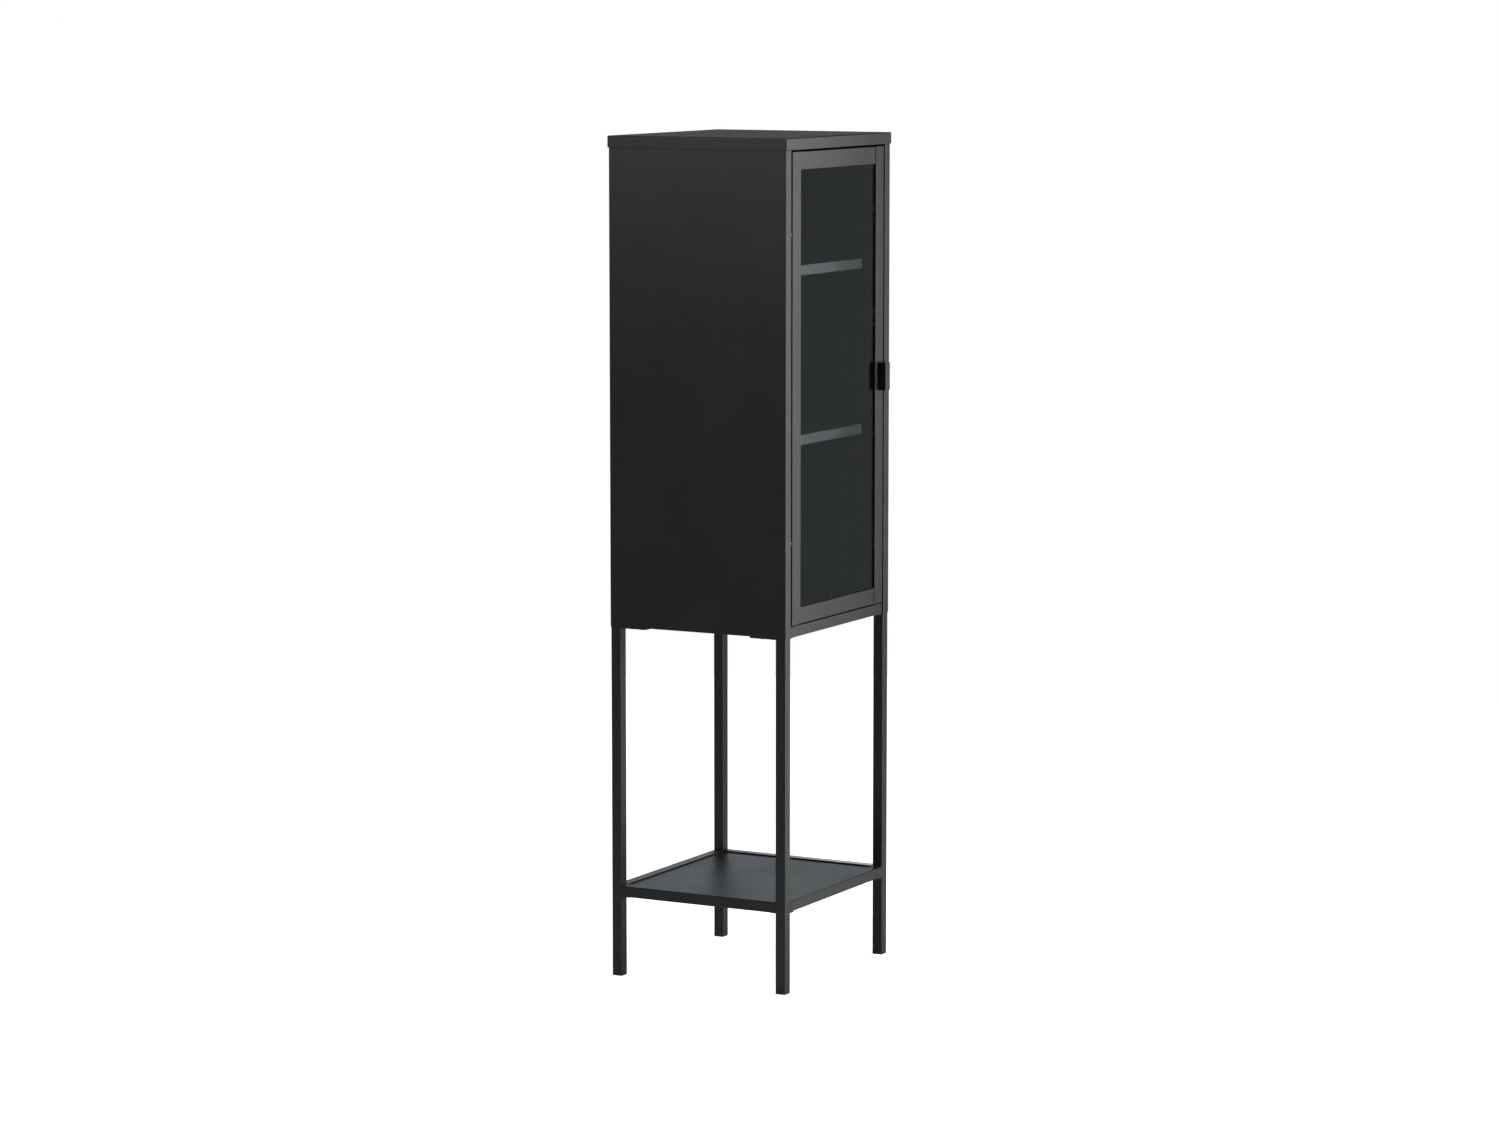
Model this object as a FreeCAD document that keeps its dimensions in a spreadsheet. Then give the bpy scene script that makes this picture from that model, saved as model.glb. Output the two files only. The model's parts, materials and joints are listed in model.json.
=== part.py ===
import FreeCAD, Part
import os
import re
import Sketcher
from FreeCAD import Placement, Rotation, Vector

# Glass-door display cabinet of folded sheet steel on a square-tube base.
# Millimetres, +Z up, front towards -Y. The origin lies on the floor, under the middle of the bounding box
# of the whole cabinet, door pull included.

DIMENSIONS = [
    # overall
    ("overall_height", 1550.0, "floor to the top of the top panel"),
    ("cabinet_width", 416.0, "over the two side panels"),
    ("cabinet_depth", 363.0, "side panel, front to back"),
    ("front_y", -175.3, "Y of the front plane of the side panels and the door"),
    ("cabinet_bottom", 653.5, "Z of the underside of the cabinet"),
    ("sheet", 1.2, "sheet thickness of the folded panels"),
    ("joint_gap", 0.1, "gap left between parts that touch"),
    # top panel
    ("cap_overhang", 2.0, "top panel beyond the side panels, all round"),
    ("cap_height", 21.5, "depth of the top panel's flange"),
    ("cap_lip", 14.0, "return under the front flange"),
    ("cap_corner", 1.8, "radius of the top panel's corners and upper edges"),
    # side panels
    ("stile_width", 21.0, "front face of the side panel"),
    ("stile_return", 20.0, "depth of the return behind the front face"),
    ("stile_lip", 10.0, "lip at the end of the return"),
    ("rear_flange", 16.0, "flange at the back of the side panel"),
    ("bend_radius", 1.5, "outer radius of the bends at the cabinet's corners"),
    ("fold_radius", 1.0, "outer radius of the flanges' folds"),
    ("tab_width", 18.0, "tab inside the side panel that carries the top panel"),
    ("tab_length", 30.0, "tab inside the side panel"),
    ("tab_front", 60.0, "front tab behind the front plane"),
    ("tab_rear", 270.0, "rear tab behind the front plane"),
    ("tab_drop", 7.5, "face of the tab below the top panel's upper face"),
    ("top_screw", 4.0, "top panel screw diameter"),
    # back and bottom panels
    ("back_sheet", 1.0, "back panel thickness"),
    ("back_hem", 10.0, "hem round the back panel"),
    ("floor_top", 671.5, "Z of the cabinet floor"),
    ("floor_setback", 2.5, "bottom flange behind the front plane"),
    ("floor_lip", 38.0, "inward return under the sides of the bottom panel"),
    ("front_drop", 1.6, "lower edge of the front flange below the underside of the cabinet"),
    # inner shelves
    ("shelf_width", 407.0, "inner shelf"),
    ("shelf_setback", 58.0, "front edge of the shelf behind the front plane"),
    ("shelf_depth", 288.0, "inner shelf, front to back"),
    ("shelf_height", 19.0, "flange of the inner shelf"),
    ("shelf_hem", 10.0, "return under the shelf's front and rear flanges"),
    ("shelf_upper_top", 1315.0, "Z of the upper shelf"),
    ("shelf_lower_top", 1005.0, "Z of the lower shelf"),
    # shelf strips and pins
    ("strip_width", 16.0, "shelf strip"),
    ("strip_depth", 3.0, "shelf strip"),
    ("strip_bottom", 690.0, "Z of the strip's lower end"),
    ("strip_length", 810.0, "shelf strip"),
    ("slot_first", 704.45, "Z of the lowest pin slot"),
    ("slot_pitch", 31.0, "pin slots"),
    ("slot_count", 26, "pin slots per strip"),
    ("slot_size", 5.0, "pin slot, square"),
    ("strip_front_y", 86.0, "front strip behind the front plane"),
    ("strip_rear_y", 290.0, "rear strip behind the front plane"),
    ("pin_diameter", 5.0, "shelf pin body"),
    ("pin_neck", 4.4, "shelf pin neck"),
    ("pin_reach", 13.0, "shelf pin body length"),
    # door
    ("door_width", 364.0, "door frame"),
    ("door_bottom", 674.0, "Z of the door's lower edge"),
    ("door_height", 851.0, "door frame"),
    ("door_depth", 16.0, "door frame"),
    ("frame_face", 32.0, "front face of the door stiles and the top rail"),
    ("bottom_face", 29.5, "front face of the bottom rail"),
    ("rail_step", 1.2, "front face of the door rails behind that of the stiles"),
    ("rail_seam", 0.4, "seam between each end of a door rail and the stile"),
    ("inner_fold", 0.5, "outer radius of the folds round the glass opening"),
    ("reveal", 2.4, "short return of the frame in front of the seal"),
    ("door_lip", 12.0, "rear lip of the door frame members"),
    ("seal_thickness", 0.4, "seal between frame and glass"),
    ("seal_lap", 5.0, "seal behind the frame"),
    ("seal_show", 1.0, "seal inside the glass opening"),
    ("glass_thickness", 4.0, "toughened glass"),
    ("glass_lap", 8.0, "glass behind the frame, each side"),
    # glass clips
    ("clip_inset", 81.5, "first clip from the end of the glass opening"),
    ("clip_count", 4, "clips per side"),
    ("clip_height", 12.0, "clip"),
    ("clip_width", 11.0, "clip base"),
    ("clip_grip", 6.0, "clip over the glass"),
    ("clip_tongue", 1.8, "thickness of the clip's tongue"),
    ("clip_screw", 3.0, "clip screw diameter"),
    # handle
    ("handle_height", 52.0, "door pull"),
    ("handle_reach", 14.4, "door pull in front of the door"),
    ("handle_lip", 17.0, "front lip of the pull"),
    ("handle_base", 14.0, "base flange of the pull"),
    ("handle_sheet", 1.5, "door pull thickness"),
    ("handle_corner", 2.0, "radius of the pull's front corners"),
    ("handle_web_x", 164.4, "X of the pull's web"),
    ("handle_screw", 4.0, "pull screw diameter"),
    ("handle_screw_spacing", 32.0, "pull screws"),
    # hinges
    ("hinge_depth", 2.0, "pin axis behind the front plane"),
    ("hinge_from_end", 148.2, "hinge from each end of the door"),
    ("lug_thickness", 1.5, "hinge lug"),
    ("lug_nose", 1.75, "radius of the lug round the pin"),
    ("lug_front", 0.6, "tongue of the lug, in front of the pin axis"),
    ("lug_rear", 2.75, "tongue of the lug, behind the pin axis"),
    ("lug_tab", 24.0, "height of the tab that holds the lug"),
    ("lug_tab_depth", 11.0, "depth of the tab that holds the lug"),
    ("lug_gap", 0.3, "between the lugs of a pair"),
    ("hinge_pin", 2.0, "hinge pin diameter"),
    ("hinge_play", 0.05, "radial play of the pin in the door lug"),
    ("pin_head", 3.2, "hinge pin head diameter"),
    ("pin_head_height", 0.8, "hinge pin head"),
    # catch
    ("catch_z", 1210.0, "Z of the magnet catch"),
    ("catch_height", 44.0, "magnet catch"),
    ("catch_width", 14.0, "magnet catch"),
    ("catch_depth", 12.0, "magnet catch"),
    ("catch_gap", 0.4, "between catch and strike plate"),
    ("catch_screw_offset", 14.0, "catch screws from the middle of the catch"),
    ("magnet_height", 26.0, "magnet in the catch"),
    ("magnet_inset", 1.5, "magnet from the catch's inner side"),
    ("magnet_width", 8.0, "magnet in the catch"),
    ("magnet_depth", 4.8, "magnet in the catch"),
    ("catch_ear", 2.5, "ear of the catch on the stile's lip"),
    ("catch_screw_length", 4.5, "catch screw under its head"),
    ("strike_height", 36.0, "strike plate"),
    ("strike_width", 11.0, "strike plate"),
    ("strike_sheet", 1.2, "strike plate"),
    ("strike_corner", 1.5, "corner radius of the strike plate"),
    # base
    ("tube", 20.0, "square tube of legs and rails"),
    ("tube_wall", 1.2, "square tube"),
    ("tube_corner", 1.2, "outer corner radius of the tube"),
    ("leg_inset", 1.0, "leg behind the outer faces of the cabinet"),
    ("plate_thickness", 3.0, "plate on top of a leg"),
    ("plate_width", 36.0, "plate on top of a leg"),
    ("plate_length", 74.0, "plate on top of a leg"),
    ("foot_height", 4.0, "visible part of the foot plug"),
    ("foot_stem", 14.0, "foot plug inside the tube"),
    ("rail_bottom", 149.5, "Z of the underside of the base rails"),
    ("base_recess", 2.6, "base shelf below the top of the rails"),
    ("base_seam", 0.6, "seam between base shelf and rails"),
    ("base_flange", 17.0, "flange of the base shelf"),
    ("corner_plate", 2.0, "plate under a corner of the base"),
    ("corner_reach", 14.0, "corner plate beyond the leg"),
    ("corner_inset_y", 0.6, "corner plate behind the outer faces of the front and rear rails"),
    ("corner_inset_x", 7.0, "corner plate behind the outer faces of the side rails"),
    # fasteners
    ("bolt", 5.0, "button-head bolt diameter"),
    ("bolt_head", 9.5, "button head diameter"),
    ("bolt_head_height", 2.8, "button head"),
    ("bolt_tip", 9.0, "leg plate bolt beyond the plate"),
    ("nut_size", 8.0, "nut across the flats"),
    ("plate_bolt_side", 10.0, "leg plate bolts beside the middle of the leg"),
    ("plate_bolt_near", 24.0, "nearer leg plate bolt from the middle of the leg"),
    ("plate_bolt_far", 46.0, "farther leg plate bolt from the middle of the leg"),
    ("corner_screw", 4.0, "countersunk corner screw diameter"),
    ("corner_screw_head", 7.2, "countersunk head diameter"),
    ("corner_screw_cone", 1.7, "height of the countersunk head"),
    ("corner_screw_tip", 3.0, "corner screw beyond the wall of the tube"),
    ("panel_screw", 3.5, "panel screw diameter"),
    ("panel_screw_head", 7.0, "panel screw head diameter"),
    ("panel_screw_head_height", 1.8, "panel screw head"),
    ("back_screw_inset", 8.0, "back screws from the outer faces of the side panels"),
    ("back_screw_length", 8.0, "back screw under its head"),
    ("back_screw_first", 700.0, "Z of the lowest back screw"),
    ("back_screw_pitch", 200.0, "back screws"),
    ("back_screw_count", 5, "back screws per side"),
]

ALIASES = {name for name, _, _ in DIMENSIONS}

doc = FreeCAD.newDocument("DisplayCabinet")
table = doc.addObject("Spreadsheet::Sheet", "Dimensions")
for row, (name, number, note) in enumerate(DIMENSIONS, start=1):
    table.set("A%d" % row, name)
    table.set("B%d" % row, str(number))
    table.set("C%d" % row, note)
    table.setAlias("B%d" % row, name)
doc.recompute()

# Shorthand for lengths used in many places.
HALF = "(cabinet_width / 2)"
REAR_Y = "(front_y + cabinet_depth)"
HINGE_X = "((-cabinet_width / 2 + stile_width - door_width / 2) / 2)"
HINGE_Y = "(front_y + hinge_depth)"
LEG_TOP = "(cabinet_bottom - plate_thickness)"
LEG_X = "(cabinet_width / 2 - leg_inset - tube / 2)"
LEG_FRONT_Y = "(front_y + leg_inset + tube / 2)"
LEG_REAR_Y = "(front_y + cabinet_depth - leg_inset - tube / 2)"
OPENING_BOTTOM = "(door_bottom + bottom_face)"
OPENING_HEIGHT = "(door_height - frame_face - bottom_face)"
CLIP_PITCH = "((%s - 2 * clip_inset) / (clip_count - 1))" % OPENING_HEIGHT


def bound(text):
    """The expression with every dimension name pointing at the table."""
    def point(match):
        word = match.group(0)
        return "Dimensions." + word if word in ALIASES else word
    return re.sub(r"[a-z][a-z_]*", point, text)


def value(text):
    """The number an expression gives at present."""
    result = table.evalExpression(bound(text))
    return float(getattr(result, "Value", result))


def feature(body, kind, **sizes):
    """A new feature of the body with each of its sizes bound to an expression."""
    item = body.newObject("PartDesign::" + kind, body.Name + "_" + kind)
    for name, text in sizes.items():
        item.setExpression(name, bound(text))
    return item


def new_body(label, x="0", y="0", z="0"):
    body = doc.addObject("PartDesign::Body", label)
    body.Label = label
    for axis, text in zip("xyz", (x, y, z)):
        body.setExpression("Placement.Base." + axis, bound(text))
    return body


def origin_feature(body, role):
    return next(item for item in body.Origin.OriginFeatures if item.Role == role)


def attach(body, sketch, role, height):
    sketch.AttachmentSupport = [(origin_feature(body, role), "")]
    sketch.MapMode = "FlatFace"
    sketch.setExpression("AttachmentOffset.Base.z", bound(height))


def locate(sketch, geometry, point, x, y):
    """Ties one sketch point to the origin by its two coordinates."""
    if x == "0" and y == "0":
        sketch.addConstraint(Sketcher.Constraint("Coincident", geometry, point, -1, 1))
        return
    for text, kind, other_axis in ((x, "DistanceX", -2), (y, "DistanceY", -1)):
        if text == "0":
            sketch.addConstraint(Sketcher.Constraint("PointOnObject", geometry, point, other_axis))
            continue
        index = sketch.addConstraint(Sketcher.Constraint(kind, -1, 1, geometry, point, value(text)))
        sketch.setExpression("Constraints[%d]" % index, bound(text))


def outline(body, points, role="XY_Plane", height="0"):
    """A closed outline through the points, each coordinate an expression."""
    sketch = body.newObject("Sketcher::SketchObject", body.Name + "_outline")
    attach(body, sketch, role, height)
    corners = [Vector(value(x), value(y), 0) for x, y in points]
    for index, corner in enumerate(corners):
        sketch.addGeometry(Part.LineSegment(corner, corners[(index + 1) % len(corners)]))
    for index in range(len(corners)):
        sketch.addConstraint(Sketcher.Constraint("Coincident", index, 2, (index + 1) % len(corners), 1))
    for index, (x, y) in enumerate(points):
        locate(sketch, index, 1, x, y)
    return sketch


def rectangle(x0, y0, x1, y1):
    return [(x0, y0), (x1, y0), (x1, y1), (x0, y1)]


def pad(body, sketch, length, reverse=False):
    item = feature(body, "Pad", Length=length)
    item.Profile = sketch
    item.Reversed = reverse
    doc.recompute()
    return item


def pocket(body, sketch, length, reverse=False):
    item = feature(body, "Pocket", Length=length)
    item.Profile = sketch
    item.Reversed = reverse
    doc.recompute()
    return item


def placed(item, x, y, z):
    for axis, text in zip("xyz", (x, y, z)):
        item.setExpression("Placement.Base." + axis, bound(text))
    doc.recompute()
    return item


def add_box(body, size, corner):
    return placed(feature(body, "AdditiveBox", Length=size[0], Width=size[1], Height=size[2]), *corner)


def cut_box(body, size, corner):
    return placed(feature(body, "SubtractiveBox", Length=size[0], Width=size[1], Height=size[2]), *corner)


TURN = {"x": Rotation(Vector(0, 1, 0), 90), "y": Rotation(Vector(1, 0, 0), -90), "z": Rotation()}


def cylinder(body, kind, diameter, length, start, axis):
    """A cylinder from its start point along +axis, added or cut."""
    item = feature(body, kind, Radius="(%s) / 2" % diameter, Height=length)
    item.Placement = Placement(Vector(), TURN[axis])
    return placed(item, *start)


def add_cylinder(body, diameter, length, start, axis):
    return cylinder(body, "AdditiveCylinder", diameter, length, start, axis)


def cut_cylinder(body, diameter, length, start, axis):
    return cylinder(body, "SubtractiveCylinder", diameter, length, start, axis)


def edges_along(shape, axis, spots):
    """Names of the straight edges along an axis that pass through the given spots of the cross plane."""
    across = [a for a in "xyz" if a != axis]
    wanted = [(value(a), value(b)) for a, b in spots]
    names = []
    for number, edge in enumerate(shape.Edges, start=1):
        if not isinstance(edge.Curve, Part.Line):
            continue
        if abs(abs(getattr(edge.Curve.Direction, axis)) - 1) > 1e-6:
            continue
        middle = edge.CenterOfMass
        here = [getattr(middle, a) for a in across]
        if any(abs(here[0] - a) < 1e-3 and abs(here[1] - b) < 1e-3 for a, b in wanted):
            names.append("Edge%d" % number)
    return names


def round_groups(body, groups, radius):
    """One fillet over several groups of edges, each an axis and the spots that its edges pass through."""
    base = body.Tip
    item = feature(body, "Fillet", Radius=radius)
    item.Base = (base, [name for axis, spots in groups for name in edges_along(base.Shape, axis, spots)])
    doc.recompute()
    return item


def round_edges(body, axis, spots, radius):
    return round_groups(body, [(axis, spots)], radius)


def pattern(body, original, axis, spacing, count):
    item = feature(body, "LinearPattern", Length="(%s) * (%s - 1)" % (spacing, count), Occurrences=count)
    item.Originals = [original]
    item.Direction = (origin_feature(body, axis.upper() + "_Axis"), [""])
    body.Tip = item
    doc.recompute()
    return item


def mirrored(points, side, width):
    """The outline as drawn for the left (side -1), or flipped within its width for the right (side 1)."""
    if side < 0:
        return points
    return [("%s - (%s)" % (width, x), y) for x, y in points]


def flip(x, size, side, width):
    """Lower X of a box of the given size, flipped within the width for the right side."""
    return x if side < 0 else "%s - (%s) - (%s)" % (width, x, size)


def compound(label, solids, placement=("0", "0", "0")):
    """Several loose solids under one name."""
    group = doc.addObject("Part::Compound", label)
    group.Label = label
    group.Links = solids
    for axis, text in zip("xyz", placement):
        group.setExpression("Placement.Base." + axis, bound(text))
    doc.recompute()
    return group


def loose_cylinder(name, diameter, length, start, axis):
    item = doc.addObject("Part::Cylinder", name)
    item.setExpression("Radius", bound("(%s) / 2" % diameter))
    item.setExpression("Height", bound(length))
    item.Placement = Placement(Vector(), TURN[axis])
    for letter, text in zip("xyz", start):
        item.setExpression("Placement.Base." + letter, bound(text))
    return item


def loose_box(name, size, corner):
    item = doc.addObject("Part::Box", name)
    for key, text in zip(("Length", "Width", "Height"), size):
        item.setExpression(key, bound(text))
    for letter, text in zip("xyz", corner):
        item.setExpression("Placement.Base." + letter, bound(text))
    return item


def fused(name, pieces):
    item = doc.addObject("Part::MultiFuse", name)
    item.Shapes = pieces
    item.Refine = True
    return item


def shifted(start, axis, text):
    """The point moved along an axis by an expression."""
    return tuple("%s + (%s)" % (v, text) if a == axis else v for v, a in zip(start, "xyz"))


def headed_screw(name, seat, axis, sense, shank, shank_length, head, head_height, socket):
    """A screw whose head rests on the seat point and whose shank runs on along the axis (sense 1 or -1)."""
    forward = lambda length: "0" if sense > 0 else "-(%s)" % length
    backward = lambda length: "-(%s)" % length if sense > 0 else "0"
    start = shifted(seat, axis, forward(shank_length))
    body = loose_cylinder(name + "_shank", shank, shank_length, start, axis)
    top = loose_cylinder(name + "_head", head, head_height, shifted(seat, axis, backward(head_height)), axis)
    joined = fused(name + "_joined", [body, top])
    depth = "(%s) * 0.6" % head_height
    if sense > 0:
        start = shifted(seat, axis, "-(%s)" % head_height)
    else:
        start = shifted(seat, axis, "(%s) - %s" % (head_height, depth))
    recess = loose_cylinder(name + "_recess", socket, depth, start, axis)
    screw = doc.addObject("Part::Cut", name)
    screw.Base = joined
    screw.Tool = recess
    return screw


NODES = []


def keep(item):
    NODES.append(item)
    return item


# ---------------------------------------------------------------- top panel
def top_panel():
    width = "(cabinet_width + 2 * cap_overhang)"
    depth = "(cabinet_depth + 2 * cap_overhang)"
    body = new_body("top_panel", "-%s / 2" % width, "front_y - cap_overhang", "overall_height - cap_height")
    pad(body, outline(body, rectangle("0", "0", width, depth)), "cap_height")
    corners = [("0", "0"), (width, "0"), ("0", depth), (width, depth)]
    long_edges = [("0", "0"), ("0", "cap_height"), (depth, "cap_height")]
    short_edges = [("0", "cap_height"), (width, "cap_height")]
    round_groups(body, [("z", corners), ("x", long_edges), ("y", short_edges)], "cap_corner")
    inside = rectangle("sheet", "sheet", width + " - sheet", depth + " - sheet")
    pocket(body, outline(body, inside), "cap_height - sheet", reverse=True)
    lip = "(cabinet_width - 2 * stile_width - 4 * joint_gap)"
    add_box(body, (lip, "cap_lip", "sheet"), ("(%s - %s) / 2" % (width, lip), "sheet - joint_gap", "0"))
    # Threaded bosses for the screws that come up through the tabs of the side panels.
    for side in (-1, 1):
        for y in TOP_TABS:
            spot = ("%s / 2 + %d * %s" % (width, side, TOP_SCREW_X),
                    "%s + cap_overhang + tab_length / 2" % y)
            add_cylinder(body, "2.2 * top_screw", "tab_drop - sheet", (*spot, "cap_height - tab_drop"), "z")
            cut_cylinder(body, "top_screw + 0.1", "tab_drop - sheet", (*spot, "cap_height - tab_drop"), "z")
    keep(body)


TOP_TABS = ["tab_front", "tab_rear"]
TOP_SCREW_X = "(cabinet_width / 2 - tab_width / 2 - sheet)"


# ---------------------------------------------------------------- side panels
PANEL_HEIGHT = "(overall_height - sheet - joint_gap - cabinet_bottom)"
TAB_Z = "(overall_height - tab_drop - joint_gap - sheet)"


def side_panel(label, side):
    left = "-%s" % HALF if side < 0 else "%s - stile_width" % HALF
    body = new_body(label, left, "front_y", "cabinet_bottom")
    points = [
        ("0", "0"),
        ("stile_width", "0"),
        ("stile_width", "stile_return"),
        ("stile_width - stile_lip", "stile_return"),
        ("stile_width - stile_lip", "stile_return - sheet"),
        ("stile_width - sheet", "stile_return - sheet"),
        ("stile_width - sheet", "sheet"),
        ("sheet", "sheet"),
        ("sheet", "cabinet_depth - sheet"),
        ("rear_flange", "cabinet_depth - sheet"),
        ("rear_flange", "cabinet_depth"),
        ("0", "cabinet_depth"),
    ]
    pad(body, outline(body, mirrored(points, side, "stile_width")), PANEL_HEIGHT)
    outer = [("0", "0"), ("0", "cabinet_depth")]
    round_edges(body, "z", mirrored(outer, side, "stile_width"), "bend_radius")
    round_edges(body, "z", mirrored([("stile_width", "0")], side, "stile_width"), "fold_radius")
    # The lower end of the front face is closed by a folded tab, and the panel's top flange lies under the cap.
    for z in ("0", "%s - sheet" % PANEL_HEIGHT):
        size = "stile_width - 2 * sheet + 0.2"
        add_box(body, (size, "stile_return - 2 * sheet", "sheet"),
                (flip("sheet - 0.1", size, side, "stile_width"), "sheet - 0.1", z))
    for y in TOP_TABS:
        size = "tab_width"
        add_box(body, (size, "tab_length", "sheet"),
                (flip("sheet - 0.1", size, side, "stile_width"), y, TAB_Z + " - cabinet_bottom"))
        middle = "%s + tab_length / 2" % y
        cut_cylinder(body, "top_screw + 0.4", "3 * sheet",
                     (flip("sheet + tab_width / 2", "0", side, "stile_width"), middle,
                      TAB_Z + " - cabinet_bottom - sheet"), "z")
    if side < 0:
        # Slots in the return for the two hinge lugs.
        for z in HINGE_LEVELS:
            cut_box(body, ("3 * sheet", "lug_rear + lug_front + 0.3", "lug_thickness + 0.4"),
                    ("stile_width - 2 * sheet", "hinge_depth - lug_front - 0.05", "%s - cabinet_bottom - 0.2" % z))
    else:
        # Holes in the lip for the screws of the magnet catch.
        for sign in (-1, 1):
            cut_cylinder(body, "panel_screw + 0.2", "4 * sheet",
                         ("stile_lip / 2", "stile_return - 2 * sheet",
                          "catch_z - cabinet_bottom + %d * catch_screw_offset" % sign), "y")
    # Holes for the back panel's screws.
    hole = cut_cylinder(body, "panel_screw + 0.2", "3 * sheet",
                        (flip("8", "0", side, "stile_width"), "cabinet_depth - 2 * sheet",
                         "back_screw_first - cabinet_bottom"), "y")
    pattern(body, hole, "z", "back_screw_pitch", "back_screw_count")
    keep(body)


# The lower lug of each hinge belongs to the cabinet; the levels are those of its underside.
HINGE_LEVELS = [
    "(door_bottom + hinge_from_end - lug_thickness - lug_gap / 2)",
    "(door_bottom + door_height - hinge_from_end - lug_thickness - lug_gap / 2)",
]


# ---------------------------------------------------------------- back and bottom panels
def back_panel():
    width = "(cabinet_width - 2 * sheet - 4 * joint_gap)"
    height = "(overall_height - sheet - cabinet_bottom - 4 * joint_gap - 1)"
    body = new_body("back_panel", "-%s / 2" % width,
                    "%s - sheet - joint_gap - back_hem" % REAR_Y, "cabinet_bottom + 1")
    pad(body, outline(body, rectangle("0", "0", width, height), "XZ_Plane"), "back_hem", reverse=True)
    inside = rectangle("back_sheet", "back_sheet", width + " - back_sheet", height + " - back_sheet")
    pocket(body, outline(body, inside, "XZ_Plane"), "back_hem - back_sheet")
    for x in ("8 - sheet - 2 * joint_gap", "%s - 8 + sheet + 2 * joint_gap" % width):
        hole = cut_cylinder(body, "panel_screw - 0.4", "3 * back_sheet",
                            (x, "back_hem - 2 * back_sheet", "back_screw_first - cabinet_bottom - 1"), "y")
        pattern(body, hole, "z", "back_screw_pitch", "back_screw_count")
    keep(body)


def bottom_panel():
    wide = "(cabinet_width - 2 * sheet - 2 * joint_gap)"
    narrow = "(cabinet_width - 2 * stile_width - 2 * joint_gap)"
    neck = "(stile_return - floor_setback + joint_gap)"
    rear = "(cabinet_depth - floor_setback - sheet - back_hem - 3 * joint_gap)"
    height = "(floor_top - cabinet_bottom)"
    body = new_body("bottom_panel", "-%s / 2" % wide, "front_y + floor_setback", "cabinet_bottom")
    left = "((%s - %s) / 2)" % (wide, narrow)
    right = "(%s + %s)" % (left, narrow)

    def plan(inset):
        return [
            (left + " + " + inset, inset),
            (right + " - " + inset, inset),
            (right + " - " + inset, neck + " + " + inset),
            (wide + " - " + inset, neck + " + " + inset),
            (wide + " - " + inset, rear + " - " + inset),
            (inset, rear + " - " + inset),
            (inset, neck + " + " + inset),
            (left + " + " + inset, neck + " + " + inset),
        ]

    pad(body, outline(body, plan("0 * sheet")), height)
    round_edges(body, "x", [("0", height)], "fold_radius")
    pocket(body, outline(body, plan("sheet")), height + " - sheet", reverse=True)
    for x in ("sheet - 0.1", wide + " - sheet + 0.1 - floor_lip"):
        length = rear + " - %s - 2 * sheet + 0.1" % neck
        add_box(body, ("floor_lip", length, "sheet"), (x, neck + " + sheet", "0"))
    add_box(body, (narrow + " - 2 * sheet", "shelf_hem", "sheet"), (left + " + sheet", "sheet - 0.1", "0"))
    add_box(body, (narrow, "sheet", "front_drop + 0.1"), (left, "0", "-front_drop"))
    # Holes for the bolts of the leg plates.
    for sign_x, sign_y in CORNERS:
        for step in PLATE_BOLTS:
            x, y = plate_bolt(sign_x, sign_y, step)
            cut_cylinder(body, "bolt + 0.4", "3 * sheet",
                         ("%s + %s / 2" % (x, wide), "%s - front_y - floor_setback" % y, "-sheet"), "z")
    keep(body)


CORNERS = [(-1, -1), (1, -1), (-1, 1), (1, 1)]
NAMES = {(-1, -1): "front_left", (1, -1): "front_right", (-1, 1): "rear_left", (1, 1): "rear_right"}
PLATE_BOLTS = ["plate_bolt_near", "plate_bolt_far"]


def leg_centre(sign_x, sign_y):
    x = LEG_X if sign_x > 0 else "(-%s)" % LEG_X
    return x, LEG_FRONT_Y if sign_y < 0 else LEG_REAR_Y


def plate_bolt(sign_x, sign_y, step):
    """Where a leg plate is bolted: beside the leg tube, at a distance along the plate from the leg."""
    x, y = leg_centre(sign_x, sign_y)
    return "%s + %d * plate_bolt_side" % (x, -sign_x), "%s + %d * %s" % (y, -sign_y, step)


# ---------------------------------------------------------------- inner shelves, strips and pins
def inner_shelf(label, top):
    body = new_body(label, "-shelf_width / 2", "front_y + shelf_setback", "%s - shelf_height" % top)
    pad(body, outline(body, rectangle("0", "0", "shelf_width", "shelf_depth")), "shelf_height")
    folds = [("0", "0"), ("0", "shelf_height"), ("shelf_depth", "shelf_height")]
    round_edges(body, "x", folds, "fold_radius")
    inside = rectangle("sheet", "sheet", "shelf_width - sheet", "shelf_depth - sheet")
    pocket(body, outline(body, inside), "shelf_height - sheet", reverse=True)
    for y in ("sheet - 0.1", "shelf_depth - sheet - shelf_hem + 0.1"):
        add_box(body, ("shelf_width - 2 * sheet + 0.2", "shelf_hem", "sheet"), ("sheet - 0.1", y, "0"))
    keep(body)


STRIP_X = "(cabinet_width / 2 - sheet - joint_gap - strip_depth)"


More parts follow.
